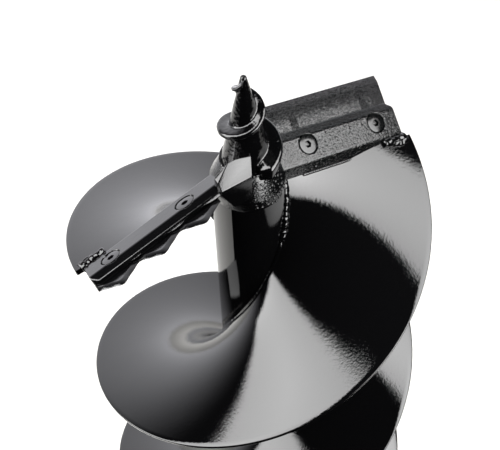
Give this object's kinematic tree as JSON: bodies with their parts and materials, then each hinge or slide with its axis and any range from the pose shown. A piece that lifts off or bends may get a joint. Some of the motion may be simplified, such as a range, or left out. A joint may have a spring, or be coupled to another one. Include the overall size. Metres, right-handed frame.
{
  "type": "soil auger",
  "caption": "Earth auger bit with two helical flights on a tubular shaft, a screw pilot point, bolted straight and toothed cutting blades, and a pinned drive socket.",
  "frame": {"origin": "centre of the drive socket's mouth, on the shaft axis", "axes": "+Z along the shaft from the drive end to the pilot point, +X outwards along the holder of the straight blade seen along the shaft"},
  "size_m": [0.3006, 0.3008, 0.812],
  "materials": {
    "gloss_black_paint": "high-gloss black enamel over steel",
    "textured_black_coat": "semi-gloss black coat with a pitted, orange-peel surface over forged steel",
    "black_screw_finish": "black coated steel screws, painted with the holders",
    "zinc_plate": "bright zinc plated steel"
  },
  "bodies": {
    "auger": {"tube": "gloss_black_paint", "drive_socket": "gloss_black_paint", "pilot_screw": "gloss_black_paint", "pilot_collar": "gloss_black_paint", "gusset_a": "gloss_black_paint", "gusset_b": "gloss_black_paint", "flight_a": "gloss_black_paint", "flight_b": "gloss_black_paint", "blade_holder_a": "textured_black_coat", "blade_holder_b": "textured_black_coat", "straight_blade": "textured_black_coat", "toothed_blade": "textured_black_coat", "blade_screw_a1": "black_screw_finish", "blade_screw_a2": "black_screw_finish", "blade_screw_b1": "black_screw_finish", "blade_screw_b2": "black_screw_finish", "blade_nut_a1": "zinc_plate", "blade_nut_a2": "zinc_plate", "blade_nut_b1": "zinc_plate", "blade_nut_b2": "zinc_plate"},
    "pin": {"coupling_pin": "zinc_plate"},
    "clip": {"spring_clip": "zinc_plate"}
  },
  "joints": [
    {"name": "pin_float", "type": "slide", "parent": "auger", "child": "pin", "axis": [-1, 0, 0], "range_m": [0, 0.005]},
    {"name": "clip_pull", "type": "slide", "parent": "pin", "child": "clip", "axis": [0, -1, 0], "range_m": [0, 0.032]}
  ]
}
